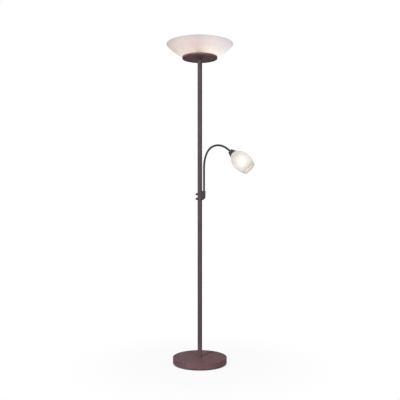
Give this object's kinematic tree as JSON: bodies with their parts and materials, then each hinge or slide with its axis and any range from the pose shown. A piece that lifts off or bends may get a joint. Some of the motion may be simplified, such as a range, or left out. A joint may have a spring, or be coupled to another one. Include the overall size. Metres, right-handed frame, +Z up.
{
  "type": "reading floor lamp",
  "caption": "Free-standing uplighter with an alabaster glass bowl on a slim pole and weighted round base, and a gooseneck reading lamp with a glass shade",
  "frame": {"origin": "on the floor, under the middle of the pole", "axes": "+Z up along the pole, +X towards the reading arm, -X towards the switch knobs, +Y towards the mains lead's gland"},
  "size_m": [0.5085, 0.374, 1.8272],
  "materials": {
    "rust_paint": "satin rust-brown powder coat",
    "black_neck": "satin black sheath",
    "black_steel": "matt black",
    "concrete": "rough cast",
    "zinc_steel": "zinc plated",
    "black_rubber": "matt",
    "felt": "pressed felt",
    "alabaster_glass": "clouded warm white",
    "frosted_glass": "frosted white",
    "opal_glass": "opal",
    "lit_glass": "opal, glowing warm white",
    "black_plastic": "moulded phenolic",
    "knob_plastic": "satin black",
    "brass": "spring brass",
    "cap_metal": "bright",
    "lead_jacket": "soft jacket"
  },
  "bodies": {
    "stand": {"base_cover": "rust_paint", "base_weight": "concrete", "base_bottom_plate": "black_steel", "base_feet": "black_rubber", "stud_washer": "zinc_steel", "stud_nut": "zinc_steel", "cord_gland": "black_rubber", "pole_foot_plug": "zinc_steel", "pole_lower_tube": "rust_paint", "pole_middle_tube": "rust_paint", "pole_upper_tube": "rust_paint", "pole_lower_coupler": "zinc_steel", "pole_upper_coupler": "zinc_steel", "pole_top_plug": "zinc_steel", "top_nipple": "zinc_steel", "dish_plate": "rust_paint", "dish_nut": "zinc_steel", "bowl_gasket": "felt", "glass_bowl": "alabaster_glass", "uplight_lampholder": "black_plastic", "uplight_shade_ring": "black_plastic", "uplight_contact": "brass", "uplight_bulb_cap": "cap_metal", "uplight_bulb_glass": "opal_glass", "uplight_switch_body": "black_plastic", "reading_switch_body": "black_plastic", "switch_collars": "knob_plastic", "switch_nuts": "black_steel", "uplight_lead": "lead_jacket", "arm_bracket": "rust_paint", "bracket_nipple": "zinc_steel", "bracket_nut": "zinc_steel", "gooseneck_root": "black_neck", "reading_lead": "lead_jacket"},
    "neck_01": {"gooseneck_01": "black_neck"},
    "neck_02": {"gooseneck_02": "black_neck"},
    "neck_03": {"gooseneck_03": "black_neck"},
    "neck_04": {"gooseneck_04": "black_neck"},
    "neck_05": {"gooseneck_05": "black_neck"},
    "neck_06": {"gooseneck_06": "black_neck"},
    "neck_07": {"gooseneck_07": "black_neck"},
    "neck_08": {"gooseneck_08": "black_neck"},
    "neck_09": {"gooseneck_09": "black_neck"},
    "neck_10": {"gooseneck_10": "black_neck"},
    "neck_11": {"gooseneck_11": "black_neck"},
    "neck_12": {"gooseneck_12": "black_neck", "head_nipple": "zinc_steel", "head_nut": "zinc_steel", "head_cup": "rust_paint", "reading_lampholder": "black_plastic", "reading_shade_ring": "black_plastic", "reading_contact": "brass", "reading_bulb_cap": "cap_metal", "reading_bulb_glass": "lit_glass", "reading_shade": "frosted_glass"},
    "uplight_knob": {"uplight_switch_shaft": "zinc_steel", "uplight_switch_knob": "knob_plastic"},
    "reading_knob": {"reading_switch_shaft": "zinc_steel", "reading_switch_knob": "knob_plastic"}
  },
  "joints": [
    {"name": "uplight_switch_turn", "type": "hinge", "parent": "stand", "child": "uplight_knob", "pos_m": [-0.02, 0, 0.9665], "axis": [-1, 0, 0], "range_deg": [0, 90]},
    {"name": "reading_switch_turn", "type": "hinge", "parent": "stand", "child": "reading_knob", "pos_m": [-0.02, 0, 0.9405], "axis": [-1, 0, 0], "range_deg": [0, 90]},
    {"name": "neck_sway_1", "type": "hinge", "parent": "stand", "child": "neck_01", "pos_m": [0.026, 0, 0.9905], "axis": [1, 0, 0], "range_deg": [-10, 10], "deforming": ["reading_lead"]},
    {"name": "neck_sway_2", "type": "hinge", "parent": "neck_01", "child": "neck_02", "pos_m": [0.026, 0, 1.0217], "axis": [1, 0, 0], "range_deg": [-10, 10], "deforming": ["reading_lead"]},
    {"name": "neck_sway_3", "type": "hinge", "parent": "neck_02", "child": "neck_03", "pos_m": [0.026, 0, 1.0529], "axis": [1, 0, 0], "range_deg": [-10, 10], "deforming": ["reading_lead"]},
    {"name": "neck_sway_4", "type": "hinge", "parent": "neck_03", "child": "neck_04", "pos_m": [0.026, 0, 1.0841], "axis": [1, 0, 0], "range_deg": [-10, 10], "deforming": ["reading_lead"]},
    {"name": "neck_bend_1", "type": "hinge", "parent": "neck_04", "child": "neck_05", "pos_m": [0.026, 0, 1.1153], "axis": [0, 1, 0], "range_deg": [-7, 6], "deforming": ["reading_lead"]},
    {"name": "neck_bend_2", "type": "hinge", "parent": "neck_05", "child": "neck_06", "pos_m": [0.02845, 0, 1.14647], "axis": [0, 1, 0], "range_deg": [-7, 6], "deforming": ["reading_lead"]},
    {"name": "neck_bend_3", "type": "hinge", "parent": "neck_06", "child": "neck_07", "pos_m": [0.03562, 0, 1.17691], "axis": [0, 1, 0], "range_deg": [-7, 6], "deforming": ["reading_lead"]},
    {"name": "neck_bend_4", "type": "hinge", "parent": "neck_07", "child": "neck_08", "pos_m": [0.04905, 0, 1.20507], "axis": [0, 1, 0], "range_deg": [-7, 6], "deforming": ["reading_lead"]},
    {"name": "neck_bend_5", "type": "hinge", "parent": "neck_08", "child": "neck_09", "pos_m": [0.07156, 0, 1.22643], "axis": [0, 1, 0], "range_deg": [-12, 6], "deforming": ["reading_lead"]},
    {"name": "neck_bend_6", "type": "hinge", "parent": "neck_09", "child": "neck_10", "pos_m": [0.10116, 0, 1.23576], "axis": [0, 1, 0], "range_deg": [-12, 6], "deforming": ["reading_lead"]},
    {"name": "neck_bend_7", "type": "hinge", "parent": "neck_10", "child": "neck_11", "pos_m": [0.13209, 0, 1.23237], "axis": [0, 1, 0], "range_deg": [-12, 6], "deforming": ["reading_lead"]},
    {"name": "neck_bend_8", "type": "hinge", "parent": "neck_11", "child": "neck_12", "pos_m": [0.16017, 0, 1.21883], "axis": [0, 1, 0], "range_deg": [-12, 6], "deforming": ["reading_lead"]}
  ],
  "couplings": [
    {"joint": "neck_sway_2", "follows": "neck_sway_1", "ratio": 1},
    {"joint": "neck_sway_3", "follows": "neck_sway_1", "ratio": 1},
    {"joint": "neck_sway_4", "follows": "neck_sway_1", "ratio": 1},
    {"joint": "neck_bend_2", "follows": "neck_bend_1", "ratio": 1},
    {"joint": "neck_bend_3", "follows": "neck_bend_1", "ratio": 1},
    {"joint": "neck_bend_4", "follows": "neck_bend_1", "ratio": 1},
    {"joint": "neck_bend_5", "follows": "neck_bend_8", "ratio": 1},
    {"joint": "neck_bend_6", "follows": "neck_bend_8", "ratio": 1},
    {"joint": "neck_bend_7", "follows": "neck_bend_8", "ratio": 1}
  ]
}
